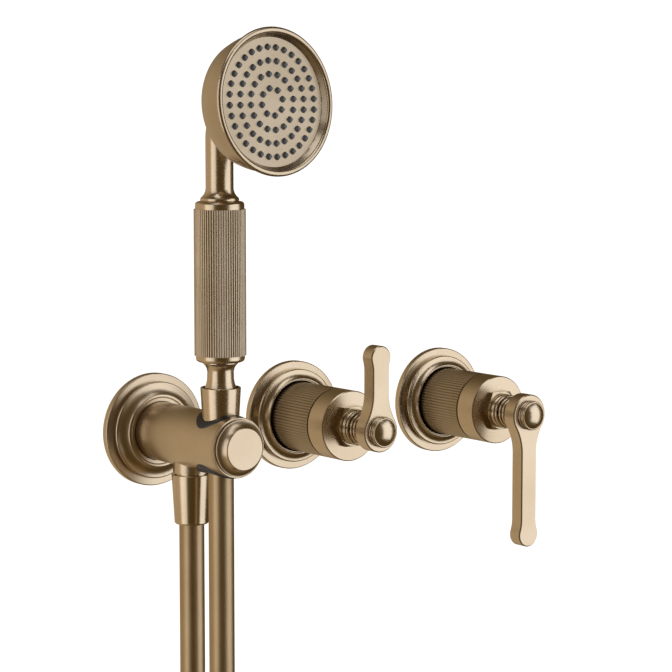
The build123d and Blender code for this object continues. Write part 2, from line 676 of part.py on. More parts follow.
# ================================================================ shower head, turned about its own axis
# Local Z points out of the spray face and local zero is the rim's front plane.
head = handset * Pos(0, -HEAD_REACH, HEAD_HEIGHT) * Rot(90 - HEAD_TILT, 0, 0)
rim_back = -RIM_EDGE_LEN - RIM_BEAD_LEN
boss_back = -SHELL_CROWN_DEPTH - 3.0
keep("head_rim", head * turned(
    (RIM_INNER_R, -RIM_LIP_DEPTH),
    ((RIM_INNER_R + RIM_R) / 2, 0, RIM_R, -RIM_LIP_DEPTH),
    (RIM_R, -RIM_EDGE_LEN + 0.4),
    (RIM_R - 0.4, -RIM_EDGE_LEN),
    (RIM_BEAD_R - 0.6, -RIM_EDGE_LEN),
    (RIM_BEAD_R, -RIM_EDGE_LEN - RIM_BEAD_LEN / 2, RIM_BEAD_R - 0.6, rim_back),
    (RIM_SKIRT_R, rim_back),
    (RIM_SKIRT_R, -PLATE_DEPTH - PLATE_THICK),
    (PLATE_R + 0.1, -PLATE_DEPTH - PLATE_THICK),
    (PLATE_R + 0.1, -PLATE_DEPTH + 0.2),
))
keep("head_shell", head * turned(
    (SHELL_FRONT_R - SHELL_WALL, rim_back),
    (SHELL_FRONT_R, rim_back),
    (SHELL_FRONT_R - 0.6, rim_back - 7.0, SHELL_BACK_R, -SHELL_BACK_DEPTH),
    (SHELL_BACK_R - 2.2, -SHELL_BACK_DEPTH - 4.6, SHELL_SHOULDER_R, -SHELL_CROWN_DEPTH + 2.6),
    (SHELL_SHOULDER_R / 2 + 4, -SHELL_CROWN_DEPTH + 0.6, SHELL_BOSS_R + 2, -SHELL_CROWN_DEPTH),
    (SHELL_BOSS_R + 0.5, -SHELL_CROWN_DEPTH - 0.5, SHELL_BOSS_R, boss_back + 0.6),
    (SHELL_BOSS_R - 0.6, boss_back),
    (NECK_R - 2.5, boss_back),
    (NECK_R - 2.5, -SHELL_CROWN_DEPTH + SHELL_WALL),
    (SHELL_SHOULDER_R / 2 + 3, -SHELL_CROWN_DEPTH + SHELL_WALL + 0.6,
     SHELL_SHOULDER_R - 1.4, -SHELL_CROWN_DEPTH + SHELL_WALL + 2.6),
    (SHELL_BACK_R - SHELL_WALL - 1.8, -SHELL_BACK_DEPTH - 3.4, SHELL_BACK_R - SHELL_WALL, -SHELL_BACK_DEPTH),
))
mat_high = -PLATE_DEPTH - PLATE_THICK
mat_low = mat_high - MAT_THICK
mat_r = PLATE_R - 2.0
keep("head_seal", head * ring(PLATE_R - 0.5, PLATE_R - 3.5, mat_low - SEAL_THICK, mat_low))

plate = Pos(0, 0, mat_high) * Cylinder(PLATE_R, PLATE_THICK, align=(Align.CENTER, Align.CENTER, Align.MIN))
mat = Pos(0, 0, mat_low) * Cylinder(mat_r, MAT_THICK, align=(Align.CENTER, Align.CENTER, Align.MIN))
holes = []
nozzles = []
for count, ring_r in NOZZLE_RINGS:
    for spot in PolarLocations(ring_r, count, start_angle=90 / count):
        holes.append(spot * Pos(0, 0, mat_high - 0.5) * Cylinder(
            NOZZLE_BASE_R + 0.1, PLATE_THICK + 1, align=(Align.CENTER, Align.CENTER, Align.MIN)))
        nozzles.append(spot * turned(
            (0, mat_high - 0.2),
            (NOZZLE_BASE_R, mat_high - 0.2),
            (NOZZLE_BASE_R, -PLATE_DEPTH),
            (NOZZLE_TIP_R, -PLATE_DEPTH + NOZZLE_PROUD),
            (0, -PLATE_DEPTH + NOZZLE_PROUD),
        ))
keep("spray_plate", head * (plate - holes))
keep("nozzle_mat", head * (mat + nozzles))


# ================================================================ valves
def lever_blank(shape):
    """Flat lever: hub, straight blade and rounded paddle joined by hollow blends, along local Y."""
    hub, half, paddle, reach = shape["hub"], shape["half"], shape["paddle"], shape["reach"]
    hub_blend, paddle_blend = shape["hub_blend"], shape["paddle_blend"]
    hub_rise = math.sqrt((hub + hub_blend) ** 2 - (half + hub_blend) ** 2)
    paddle_drop = math.sqrt((paddle + paddle_blend) ** 2 - (half + paddle_blend) ** 2)
    hub_share = hub / (hub + hub_blend)
    paddle_share = paddle / (paddle + paddle_blend)
    hub_touch = ((half + hub_blend) * hub_share, hub_rise * hub_share)
    paddle_touch = ((half + paddle_blend) * paddle_share, reach - paddle_drop * paddle_share)
    blade_low = (half, hub_rise)
    blade_high = (half, reach - paddle_drop)

    def blend_middle(centre, radius, start, end):
        aim = Vector((start[0] + end[0]) / 2 - centre[0], (start[1] + end[1]) / 2 - centre[1]).normalized()
        return centre[0] + radius * aim.X, centre[1] + radius * aim.Y

    hub_middle = blend_middle((half + hub_blend, hub_rise), hub_blend, hub_touch, blade_low)
    paddle_middle = blend_middle(
        (half + paddle_blend, reach - paddle_drop), paddle_blend, blade_high, paddle_touch)
    right = [
        ThreePointArc(hub_touch, hub_middle, blade_low),
        Line(blade_low, blade_high),
        ThreePointArc(blade_high, paddle_middle, paddle_touch),
    ]
    left = [edge.mirror(Plane.YZ) for edge in right]
    ends = [
        ThreePointArc(paddle_touch, (0, reach + paddle), (-paddle_touch[0], paddle_touch[1])),
        ThreePointArc((-hub_touch[0], hub_touch[1]), (0, -hub), hub_touch),
    ]
    return Face(Wire(right + left + ends))


def build_valve(name, x, lever_shape, lever_angle, ports):
    """One concealed valve's trim and cartridge; local Z runs out of the wall."""
    place = on_wall(x)
    cap_bore = CARTRIDGE_NOSE_R + SLIP_FIT
    sleeve_bore = SLEEVE_R - SLEEVE_WALL
    flange_bore = SLEEVE_R + VALVE_FLANGE_GAP
    lip = flange_bore + VALVE_COLLAR_LAND
    keep(name + "_flange", place * wall_flange(flange_bore, flange_bore + VALVE_COLLAR_WIDTH, lip))
    keep(name + "_wall_gasket", place * wall_gasket())
    keep(name + "_reeded_sleeve", place * (
        ribbed(SLEEVE_R, SLEEVE_RIB_DEPTH, SLEEVE_RIBS, SLEEVE_START, SLEEVE_END)
        - Cylinder(sleeve_bore, 4 * SLEEVE_END)))

    # front cap: spigot in the sleeve, narrow groove, drum and flat face
    hollow = sleeve_bore - 2.4
    keep(name + "_front_cap", place * turned(
        (hollow, SLEEVE_END - FRONT_CAP_SPIGOT),
        (sleeve_bore - 0.1, SLEEVE_END - FRONT_CAP_SPIGOT),
        (sleeve_bore - 0.1, SLEEVE_END),
        (SLEEVE_R - 1.3, SLEEVE_END),
        (SLEEVE_R - 1.3, FRONT_CAP_START),
        (SLEEVE_R - 0.3, FRONT_CAP_START),
        (SLEEVE_R, FRONT_CAP_START + 0.3),
        (SLEEVE_R, FRONT_CAP_END - FRONT_CAP_EDGE),
        (SLEEVE_R - FRONT_CAP_EDGE, FRONT_CAP_END),
        (cap_bore, FRONT_CAP_END),
        (cap_bore, FRONT_CAP_END - FRONT_CAP_FACE),
        (hollow, FRONT_CAP_END - FRONT_CAP_FACE),
    ))

    # gland nut: hexagon with turned corners, then two rounded bands with a groove between them
    hex_end = FRONT_CAP_END + HEX_LEN
    collar_end = hex_end + GLAND_COLLAR_LEN
    groove_low = hex_end + 0.54 * GLAND_COLLAR_LEN
    groove_high = hex_end + 0.62 * GLAND_COLLAR_LEN
    spindle_bore = SPINDLE_R + SLIP_FIT
    hexagon = Pos(0, 0, FRONT_CAP_END) * extrude(
        RegularPolygon(HEX_FLATS / 2, 6, major_radius=False), HEX_LEN)
    hexagon &= turned(
        (0, FRONT_CAP_END),
        (HEX_TURNED_R, FRONT_CAP_END),
        (HEX_TURNED_R, hex_end - 0.9),
        (HEX_FLATS / 2 - 0.2, hex_end),
        (0, hex_end),
    )
    collar = turned(
        (0, hex_end),
        (GLAND_COLLAR_R - 0.6, hex_end),
        (GLAND_COLLAR_R, hex_end + 0.28 * GLAND_COLLAR_LEN,
         GLAND_COLLAR_R - GLAND_GROOVE_DEPTH, groove_low),
        (GLAND_COLLAR_R - GLAND_GROOVE_DEPTH, groove_high),
        (GLAND_COLLAR_R - 0.2, groove_high + 0.2 * GLAND_COLLAR_LEN, GLAND_COLLAR_R - 0.9, collar_end),
        (0, collar_end),
    )
    nose_end = hex_end + 0.3
    gland_bore = turned(
        (0, FRONT_CAP_END - 1),
        (CARTRIDGE_NOSE_R, FRONT_CAP_END - 1),
        (CARTRIDGE_NOSE_R, nose_end + FACE_GAP),
        (spindle_bore, nose_end + FACE_GAP),
        (spindle_bore, collar_end + 1),
        (0, collar_end + 1),
    )
    keep(name + "_gland_nut", place * (hexagon + collar - gland_bore))

    # cartridge body: threaded wall end, land, barrel and threaded nose; stepped bore with two seal grooves
    passage = SPINDLE_R + RUNNING_FIT
    groove_r = passage + 1.9 * O_RING_R
    outline = [
        (INLET_R, -CARTRIDGE_BEHIND),
        (THREE_QUARTER_THREAD_R, -CARTRIDGE_BEHIND),
        (THREE_QUARTER_THREAD_R, CARTRIDGE_LAND),
        (CARTRIDGE_LAND_R, CARTRIDGE_LAND),
        (CARTRIDGE_LAND_R, 2 * CARTRIDGE_LAND),
        (CARTRIDGE_BARREL_R, 2 * CARTRIDGE_LAND),
        (CARTRIDGE_BARREL_R, CARTRIDGE_BARREL_END),
        (CARTRIDGE_NOSE_R, CARTRIDGE_BARREL_END),
        (CARTRIDGE_NOSE_R, nose_end),
        (passage, nose_end),
    ]
    for depth in reversed(O_RING_DEPTHS):
        outline += [
            (passage, depth + O_RING_R + 0.1),
            (groove_r, depth + O_RING_R + 0.1),
            (groove_r, depth - O_RING_R - 0.1),
            (passage, depth - O_RING_R - 0.1),
        ]
    outline += [
        (passage, CHAMBER_END),
        (CHAMBER_R, CHAMBER_END),
        (CHAMBER_R, CHAMBER_START),
        (INLET_R, CHAMBER_START),
    ]
    keep(name + "_cartridge_body", place * turned(*outline))
    disc_low = CHAMBER_START + SEAT_SEAL_THICK
    disc_r = CHAMBER_R - RUNNING_FIT
    seals = [place * ring(disc_r, INLET_R + 0.5, CHAMBER_START, disc_low)]
    for depth in O_RING_DEPTHS:
        o_ring = Pos(passage + 0.9 * O_RING_R, 0, depth) * Rot(90, 0, 0) * Circle(0.85 * O_RING_R)
        seals.append(place * revolve(o_ring, Axis.Z, 360))
    keep(name + "_seals", Compound(children=seals))

    # ceramic discs: the fixed one is ported as given, the turning one has a slot for the spindle's tongue
    def disc(low, openings):
        blank = Pos(0, 0, low) * Cylinder(disc_r, DISC_THICK, align=(Align.CENTER, Align.CENTER, Align.MIN))
        for angle in openings:
            blank -= Rot(0, 0, angle) * Pos(6.2, 0, low - 1) * Cylinder(
                2.4, DISC_THICK + 2, align=(Align.CENTER, Align.CENTER, Align.MIN))
        return blank

    turning_low = disc_low + DISC_THICK + FACE_GAP
    turning_high = turning_low + DISC_THICK
    tongue = Box(DISC_TONGUE_L, DISC_TONGUE_W, DISC_TONGUE, align=(Align.CENTER, Align.CENTER, Align.MAX))
    slot = Box(DISC_TONGUE_L + 0.2, DISC_TONGUE_W + 0.2, DISC_TONGUE + 0.1,
               align=(Align.CENTER, Align.CENTER, Align.MAX))
    keep(name + "_fixed_disc", place * disc(disc_low, ports))
    keep(name + "_turning_disc", place * (disc(turning_low, [90]) - Pos(0, 0, turning_high) * slot))

    # spindle: flange with tongue, shaft, three beads, neck, square drive and threaded tip
    flange_low = turning_high + FACE_GAP
    outline = [
        (0, flange_low),
        (disc_r, flange_low),
        (disc_r, flange_low + SPINDLE_FLANGE_LEN),
        (SPINDLE_R, flange_low + SPINDLE_FLANGE_LEN),
        (SPINDLE_R, collar_end + FREE_GAP),
    ]
    height = collar_end + FREE_GAP
    for radius, length, gap in STEM_RINGS:
        outline += [
            (radius - STEM_BEAD_RISE, height),
            (radius, height + length / 2, radius - STEM_BEAD_RISE, height + length),
        ]
        height += length
        if gap:
            outline += [(radius - STEM_GROOVE_DEPTH, height), (radius - STEM_GROOVE_DEPTH, height + gap)]
            height += gap
    recess_floor = LEVER_BACK + LEVER_THICK - LEVER_RECESS_DEPTH
    tip_start = recess_floor - 1.5
    outline += [
        (STEM_NECK_R, height),
        (STEM_NECK_R, LEVER_BACK),
        (TIP_THREAD_R, LEVER_BACK),
        (TIP_THREAD_R, recess_floor + FRONT_COLLAR_LEN + TIP_THREAD_LEN),
        (0, recess_floor + FRONT_COLLAR_LEN + TIP_THREAD_LEN),
    ]
    drive = Pos(0, 0, LEVER_BACK) * Box(
        DRIVE_FLATS, DRIVE_FLATS, tip_start - LEVER_BACK, align=(Align.CENTER, Align.CENTER, Align.MIN))
    keep(name + "_spindle", place * (turned(*outline) + drive + Pos(0, 0, flange_low) * tongue))

    # lever: blank with chamfered front edge, square socket and a shallow recess for the collar
    blank = extrude(lever_blank(lever_shape), LEVER_THICK)
    blank = chamfer(blank.faces().sort_by(Axis.Z)[-1].edges(), LEVER_EDGE)
    blank = chamfer(blank.faces().sort_by(Axis.Z)[0].edges(), LEVER_EDGE / 2)
    socket = Box(DRIVE_FLATS + 0.1, DRIVE_FLATS + 0.1, 4 * LEVER_THICK)
    recess = Pos(0, 0, LEVER_THICK - LEVER_RECESS_DEPTH) * Cylinder(
        LEVER_RECESS_R, 2, align=(Align.CENTER, Align.CENTER, Align.MIN))
    keep(name + "_lever", place * Pos(0, 0, LEVER_BACK) * Rot(0, 0, lever_angle) * (blank - socket - recess))

    # front collar and domed cap nut
    collar_low = recess_floor
    nut_low = collar_low + FRONT_COLLAR_LEN
    thread = TIP_THREAD_R + 0.05
    keep(name + "_lever_collar", place * turned(
        (thread, collar_low),
        (FRONT_COLLAR_R - 0.2, collar_low),
        (FRONT_COLLAR_R, collar_low + 0.8, FRONT_COLLAR_R - 0.6, collar_low + 1.5),
        (FRONT_COLLAR_R - 0.9, collar_low + 1.7),
        (FRONT_COLLAR_R - 0.3, collar_low + 2.3, FRONT_COLLAR_R - 0.9, nut_low),
        (thread, nut_low),
    ))
    dome_start = nut_low + CAP_NUT_RIM
    nut_bore = nut_low + TIP_THREAD_LEN + 0.1
    keep(name + "_cap_nut", place * turned(
        (thread, nut_low),
        (CAP_NUT_R - 0.8, nut_low),
        (CAP_NUT_R, nut_low + 0.9, CAP_NUT_R - 0.6, dome_start + 0.1),
        (CAP_NUT_R - 1.0, dome_start),
        dome(CAP_NUT_R - 1.0, dome_start, CAP_NUT_DOME),
        (0, nut_bore),
        (thread, nut_bore),
    ))


build_valve("diverter", DIVERTER_X, DIVERTER_LEVER, 0, [45, 225])
build_valve("mixer", MIXER_X, MIXER_LEVER, 180, [30, 150, 270])

for name, solid in pieces.items():
    export_step(solid, f"parts/{name}.step")
print(len(pieces), "nodes")
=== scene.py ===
"""Studio scene of a wall-mounted bath set: outlet arm with hand shower, diverter and mixer valve.

Metres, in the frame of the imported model: the wall is the plane y = 0, the room is on its -Y side
and +Z is up.
"""

import json
import math

import bpy
from bpy.props import FloatProperty, FloatVectorProperty, IntProperty, PointerProperty
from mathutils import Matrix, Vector
from mathutils.kdtree import KDTree

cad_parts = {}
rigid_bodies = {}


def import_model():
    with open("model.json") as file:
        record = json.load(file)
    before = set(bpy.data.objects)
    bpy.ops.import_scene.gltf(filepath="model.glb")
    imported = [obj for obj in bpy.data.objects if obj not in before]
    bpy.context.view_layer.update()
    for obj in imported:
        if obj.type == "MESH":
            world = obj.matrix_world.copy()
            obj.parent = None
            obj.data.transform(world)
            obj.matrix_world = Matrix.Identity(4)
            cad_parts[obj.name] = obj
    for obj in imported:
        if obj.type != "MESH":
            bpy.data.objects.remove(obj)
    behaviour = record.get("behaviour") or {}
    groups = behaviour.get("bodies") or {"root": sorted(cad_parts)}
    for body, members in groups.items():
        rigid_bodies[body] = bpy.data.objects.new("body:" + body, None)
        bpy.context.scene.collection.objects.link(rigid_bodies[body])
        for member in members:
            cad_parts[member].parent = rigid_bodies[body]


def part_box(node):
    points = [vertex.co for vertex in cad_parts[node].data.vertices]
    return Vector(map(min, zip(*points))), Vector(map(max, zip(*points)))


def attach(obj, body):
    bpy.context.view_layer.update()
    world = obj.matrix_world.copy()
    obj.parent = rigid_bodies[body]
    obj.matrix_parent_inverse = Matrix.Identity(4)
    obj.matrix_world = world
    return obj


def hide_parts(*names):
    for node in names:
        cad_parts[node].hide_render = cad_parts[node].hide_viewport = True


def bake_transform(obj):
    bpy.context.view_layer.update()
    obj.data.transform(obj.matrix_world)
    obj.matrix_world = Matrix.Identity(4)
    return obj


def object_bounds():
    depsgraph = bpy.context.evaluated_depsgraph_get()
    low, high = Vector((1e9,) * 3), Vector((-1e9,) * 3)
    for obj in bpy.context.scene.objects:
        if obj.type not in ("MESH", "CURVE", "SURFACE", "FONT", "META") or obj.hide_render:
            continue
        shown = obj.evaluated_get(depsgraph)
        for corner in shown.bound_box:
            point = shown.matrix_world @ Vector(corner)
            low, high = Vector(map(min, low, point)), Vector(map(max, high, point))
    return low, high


bl_info = {
    "name": "Wall Bath Set",
    "version": (1, 0, 0),
    "blender": (4, 5, 0),
    "location": "View3D > Sidebar > Bath Set",
    "description": "Hose, fittings, finishes and studio for a wall-mounted bath set",
    "category": "Object",
}

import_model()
cad_low, cad_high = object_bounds()


def axis_through(name):
    """Middle of a node's box, a point on the axis of a turned piece."""
    low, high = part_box(name)
    return (low + high) / 2


DIVERTER_AXIS = axis_through("diverter_reeded_sleeve")
MIXER_AXIS = axis_through("mixer_reeded_sleeve")
ARM_AXIS = axis_through("arm_end_cap")
OUTLET_AXIS = axis_through("outlet_hose_nut")
HOLDER_AXIS = axis_through("hand_hose_nut")
HEAD_AXIS = axis_through("head_rim")

# how a piece's own axis lies: out from the wall, upright, or leaning back with the spray head
HEAD_TILT = math.radians(4.2)
LIE_DOWN = (math.radians(90), 0, 0)
UPRIGHT = (0, 0, 0)
HEAD_LEAN = (math.radians(90) - HEAD_TILT, 0, 0)

# the hose's way down from the outlet nut and up to the holder's nut; a loop works out the coil between
HOSE_X = -0.1075
FALL_DEPTH = -0.0456
RISE_DEPTH = -0.0783
FALL_POINTS = [
    (HOSE_X, FALL_DEPTH, -0.0493),
    (HOSE_X, FALL_DEPTH, -0.1158),
    (HOSE_X, FALL_DEPTH, -0.1740),
    (-0.1316, FALL_DEPTH, -0.2160),
]
RISE_POINTS = [
    (-0.0834, RISE_DEPTH, -0.2160),
    (HOSE_X, RISE_DEPTH, -0.1740),
    (HOSE_X, RISE_DEPTH, -0.1158),
    (HOSE_X, RISE_DEPTH, 0.0077),
]
COIL_CENTRE = Vector((HOSE_X, -0.0620, -0.3060))
COIL_FIRST_ANGLE = 120  # degrees
COIL_SWEEP = 660  # degrees
COIL_SPREAD = 1.0175  # makes up for the curve running inside its control points
STRAP_SLACK = 0.0003

# finish
GRAIN_HEIGHT = 0.0002
GLOSS_SWING = 0.04
MACHINED_ROUGHNESS = 0.24
MACHINED_FINENESS = 1500
THREAD_PITCH = 0.00181
THREAD_HEIGHT = 0.0016
SKIN_FINENESS = 1800
SKIN_HEIGHT = 0.0001
SKIN_GLOSS_SWING = 0.08
WEAVE_SCALE = 220
WEAVE_HEIGHT = 0.0004
HOSE_ROUGHNESS = 0.42

# studio
FLOOR_SIZE = 14
SENSOR_WIDTH = 36
LIGHT_TINT = (0.96, 0.99, 1.04)
WHITE_STRENGTH = 1.1
PALE_REACH = 0.9
# the way to the room's pale side: beyond the wall, left of the set and a little down
PALE_SIDE = Vector((-0.55, 0.74, -0.39))

VECTOR, NUMBER, COLOUR = "NodeSocketVector", "NodeSocketFloat", "NodeSocketColor"
ORIGIN = (0, 0, 0)


# ---------------------------------------------------------------- settings
class HoseSettings(bpy.types.PropertyGroup):
    """Sizes of the hose and of the strap round its coil."""

    diameter: FloatProperty(
        name="Hose diameter", description="Outside diameter of the hose", default=0.0155, unit="LENGTH")
    coil_radius: FloatProperty(
        name="Coil radius", description="Radius to the middle of the hose in its coil",
        default=0.090, unit="LENGTH")
    points_per_turn: IntProperty(
        name="Points per turn", description="Control points in one turn of the coil",
        default=12, min=12, max=24)
    strap_width: FloatProperty(
        name="Strap width", description="Width of the strap round the coil", default=0.016, unit="LENGTH")
    strap_thick: FloatProperty(
        name="Strap thickness", description="Thickness of the strap", default=0.0012, unit="LENGTH")


class FinishSettings(bpy.types.PropertyGroup):
    """Colours and surface of the finishes."""

    bronze_light: FloatVectorProperty(
        name="Bronze, light", description="Brushed bronze where the lacquer is thin",
        subtype="COLOR", size=3, min=0, max=1, default=(0.62, 0.515, 0.38))
    bronze_deep: FloatVectorProperty(
        name="Bronze, deep", description="Brushed bronze where the tone is deeper",
        subtype="COLOR", size=3, min=0, max=1, default=(0.57, 0.46, 0.325))
    hose_light: FloatVectorProperty(
        name="Hose, light", description="Smooth skin of the hose where it is lighter",
        subtype="COLOR", size=3, min=0, max=1, default=(0.485, 0.368, 0.224))
    hose_deep: FloatVectorProperty(
        name="Hose, deep", description="Smooth skin of the hose where it is deeper",
        subtype="COLOR", size=3, min=0, max=1, default=(0.43, 0.318, 0.187))
    bronze_roughness: FloatProperty(
        name="Bronze roughness", description="Middle roughness of the brushed bronze",
        default=0.27, min=0, max=1)
    brass_colour: FloatVectorProperty(
        name="Bare brass", description="Machined brass of the inner fittings",
        subtype="COLOR", size=3, min=0, max=1, default=(0.72, 0.52, 0.22))
    steel_colour: FloatVectorProperty(
        name="Steel", description="Stainless spring and screw",
        subtype="COLOR", size=3, min=0, max=1, default=(0.60, 0.60, 0.60))
    rubber_colour: FloatVectorProperty(
        name="Rubber", description="Gaskets and washers",
        subtype="COLOR", size=3, min=0, max=1, default=(0.014, 0.014, 0.015))
    liner_colour: FloatVectorProperty(
        name="Liner plastic", description="Plastic of the holder's liner",
        subtype="COLOR", size=3, min=0, max=1, default=(0.016, 0.018, 0.024))
    nozzle_colour: FloatVectorProperty(
        name="Nozzle silicone", description="Silicone of the spray nozzles",
        subtype="COLOR", size=3, min=0, max=1, default=(0.075, 0.078, 0.085))
    white_colour: FloatVectorProperty(
        name="White plastic", description="Plastic of the check valve",
        subtype="COLOR", size=3, min=0, max=1, default=(0.80, 0.80, 0.77))
    ceramic_colour: FloatVectorProperty(
        name="Ceramic", description="Ceramic of the valve discs",
        subtype="COLOR", size=3, min=0, max=1, default=(0.83, 0.81, 0.75))


class StudioSettings(bpy.types.PropertyGroup):
    """Camera, lights and floor."""

    camera_place: FloatVectorProperty(
        name="Camera place", description="Where the camera stands", subtype="TRANSLATION", size=3,
        default=(-0.905348, -1.268474, 0.223634))
    camera_yaw: FloatProperty(
        name="Camera yaw", description="Turn of the camera to the right of straight at the wall",
        default=0.639, subtype="ANGLE")
    camera_pitch: FloatProperty(
        name="Camera pitch", description="How far the camera looks down", default=0.110, subtype="ANGLE")
    lens: FloatProperty(name="Lens", description="Focal length in millimetres", default=128.57)
    floor_drop: FloatProperty(
        name="Floor drop", description="Depth of the floor under the coil of hose",
        default=0.18, unit="LENGTH")
    room_dark: FloatVectorProperty(
        name="Room, dark side", description="Dim side of the room, behind the camera",
        subtype="COLOR", size=3, min=0, max=1, default=(0.095, 0.060, 0.018))
    room_pale: FloatVectorProperty(
        name="Room, pale side", description="Paler side of the room, beyond the wall on the left",
        subtype="COLOR", size=3, min=0, max=1, default=(0.60, 0.48, 0.325))


# ---------------------------------------------------------------- helpers for shader trees
def add_node(tree, kind, **values):
    """Adds a shader node; a value sets the node's property of that name, or else its input."""
    made = tree.nodes.new(kind)
    for name, value in values.items():
        if hasattr(made, name):
            setattr(made, name, value)
        else:
            made.inputs[name.replace("_", " ").title()].default_value = value
    return made


def math_node(tree, operation, first, second=None):
    """A Math node whose operands are numbers or sockets; gives its output."""
    made = tree.nodes.new("ShaderNodeMath")
    made.operation = operation
    for slot, operand in enumerate((first, second)):
        if isinstance(operand, (int, float)):
            made.inputs[slot].default_value = operand
        elif operand is not None:
            tree.links.new(operand, made.inputs[slot])
    return made.outputs[0]


def group_node(tree, group, **values):
    """Places a node group in a tree and sets its inputs."""
    made = tree.nodes.new("ShaderNodeGroup")
    made.node_tree = group
    for name, value in values.items():
        made.inputs[name].default_value = value
    return made


def new_group(name, inputs, outputs):
    """An empty shader node group; gives the group, its input node and its output node."""
    group = bpy.data.node_groups.new(name, "ShaderNodeTree")
    for socket, kind, default in inputs:
        made = group.interface.new_socket(name=socket, in_out="INPUT", socket_type=kind)
        made.default_value = default
    for socket, kind in outputs:
        group.interface.new_socket(name=socket, in_out="OUTPUT", socket_type=kind)
    return group, group.nodes.new("NodeGroupInput"), group.nodes.new("NodeGroupOutput")


def map_range(tree, value, start, end, low=0.0, high=1.0):
    """A Map Range node that takes a socket's values from start..end to low..high."""
    made = tree.nodes.new("ShaderNodeMapRange")
    for name, number in (("From Min", start), ("From Max", end), ("To Min", low), ("To Max", high)):
        made.inputs[name].default_value = number
    tree.links.new(value, made.inputs["Value"])
    return made


def raise_surface(tree, height, strength, distance, target):
    """Puts a Bump node between a height and a normal input."""
    made = add_node(tree, "ShaderNodeBump", strength=strength, distance=distance)
    tree.links.new(height, made.inputs["Height"])
    tree.links.new(made.outputs[0], target)


def turned_grain_group():
    """Fine lines that run round local Z, as a lathe and a brushing wheel leave them."""
    group, taken, given = new_group(
        "turned_grain",
        [("Place", VECTOR, ORIGIN), ("Fineness", NUMBER, 2200), ("Run", NUMBER, 3)],
        [("Grain", NUMBER)])
    link = group.links.new
    parts = group.nodes.new("ShaderNodeSeparateXYZ")
    link(taken.outputs["Place"], parts.inputs[0])
    across = math_node(group, "POWER", parts.outputs[0], 2)
    up = math_node(group, "POWER", parts.outputs[1], 2)
    radius = math_node(group, "SQRT", math_node(group, "ADD", across, up))
    safe = math_node(group, "MAXIMUM", radius, 0.0001)
    whole = group.nodes.new("ShaderNodeCombineXYZ")
    for slot in (0, 1):
        share = math_node(group, "DIVIDE", parts.outputs[slot], safe)
        link(math_node(group, "MULTIPLY", share, taken.outputs["Run"]), whole.inputs[slot])
    link(math_node(group, "MULTIPLY", parts.outputs[2], taken.outputs["Fineness"]), whole.inputs[2])
    noise = add_node(group, "ShaderNodeTexNoise", noise_dimensions="4D", scale=1, detail=3, roughness=0.6)
    link(whole.outputs[0], noise.inputs["Vector"])
    link(math_node(group, "MULTIPLY", radius, taken.outputs["Fineness"]), noise.inputs["W"])
    link(noise.outputs[0], given.inputs["Grain"])
    return group


def straight_grain_group():
    """Fine lines that run along Z, as a belt leaves them on a lever or a tube."""
    group, taken, given = new_group(
        "straight_grain",
        [("Place", VECTOR, ORIGIN), ("Fineness", NUMBER, 2200), ("Run", NUMBER, 40)],
        [("Grain", NUMBER)])
    link = group.links.new
    parts = group.nodes.new("ShaderNodeSeparateXYZ")
    link(taken.outputs["Place"], parts.inputs[0])
    whole = group.nodes.new("ShaderNodeCombineXYZ")
    for slot, name in enumerate(("Fineness", "Fineness", "Run")):
        link(math_node(group, "MULTIPLY", parts.outputs[slot], taken.outputs[name]), whole.inputs[slot])
    noise = add_node(group, "ShaderNodeTexNoise", scale=1, detail=3, roughness=0.6)
    link(whole.outputs[0], noise.inputs["Vector"])
    link(noise.outputs[0], given.inputs["Grain"])
    return group


def thread_wave_group():
    """Ridges of a pipe thread round local Y, on the side of the wall away from the room."""
    group, taken, given = new_group(
        "thread_wave", [("Place", VECTOR, ORIGIN), ("Pitch", NUMBER, 0.0018)], [("Height", NUMBER)])
    link = group.links.new
    parts = group.nodes.new("ShaderNodeSeparateXYZ")
    link(taken.outputs["Place"], parts.inputs[0])
    across, depth, up = parts.outputs[0], parts.outputs[1], parts.outputs[2]
    turns = math_node(group, "DIVIDE", math_node(group, "ARCTAN2", up, across), 2 * math.pi)
    rows = math_node(group, "DIVIDE", depth, taken.outputs["Pitch"])
    ridge = math_node(group, "PINGPONG", math_node(group, "ADD", rows, turns), 0.5)
    behind = math_node(group, "GREATER_THAN", depth, 0)
    link(math_node(group, "MULTIPLY", ridge, behind), given.inputs["Height"])
    return group


def tone_drift_group():
    """Soft clouds between a light and a deep tone, with sparse darker specks of age."""
    group, taken, given = new_group(
        "tone_drift",
        [("Place", VECTOR, ORIGIN), ("Light", COLOUR, (1, 1, 1, 1)), ("Deep", COLOUR, (0, 0, 0, 1)),
         ("Cloud Scale", NUMBER, 30), ("Speck Scale", NUMBER, 900), ("Speck Share", NUMBER, 0.1)],
        [("Colour", COLOUR)])
    link = group.links.new
    cloud = add_node(group, "ShaderNodeTexNoise", detail=4, roughness=0.55)
    link(taken.outputs["Place"], cloud.inputs["Vector"])
    link(taken.outputs["Cloud Scale"], cloud.inputs["Scale"])
    mix = add_node(group, "ShaderNodeMix", data_type="RGBA")
    link(map_range(group, cloud.outputs[0], 0.3, 0.7).outputs[0], mix.inputs["Factor"])
    link(taken.outputs["Light"], mix.inputs["A"])
    link(taken.outputs["Deep"], mix.inputs["B"])
    speck = add_node(group, "ShaderNodeTexNoise", detail=2)
    link(taken.outputs["Place"], speck.inputs["Vector"])
    link(taken.outputs["Speck Scale"], speck.inputs["Scale"])
    few = map_range(group, speck.outputs[0], 0.62, 0.80).outputs[0]
    darken = add_node(group, "ShaderNodeMix", data_type="RGBA", blend_type="MULTIPLY")
    link(math_node(group, "MULTIPLY", few, taken.outputs["Speck Share"]), darken.inputs["Factor"])
    link(mix.outputs["Result"], darken.inputs["A"])
    darken.inputs["B"].default_value = (0.35, 0.28, 0.20, 1)
    link(darken.outputs["Result"], given.inputs["Colour"])
    return group


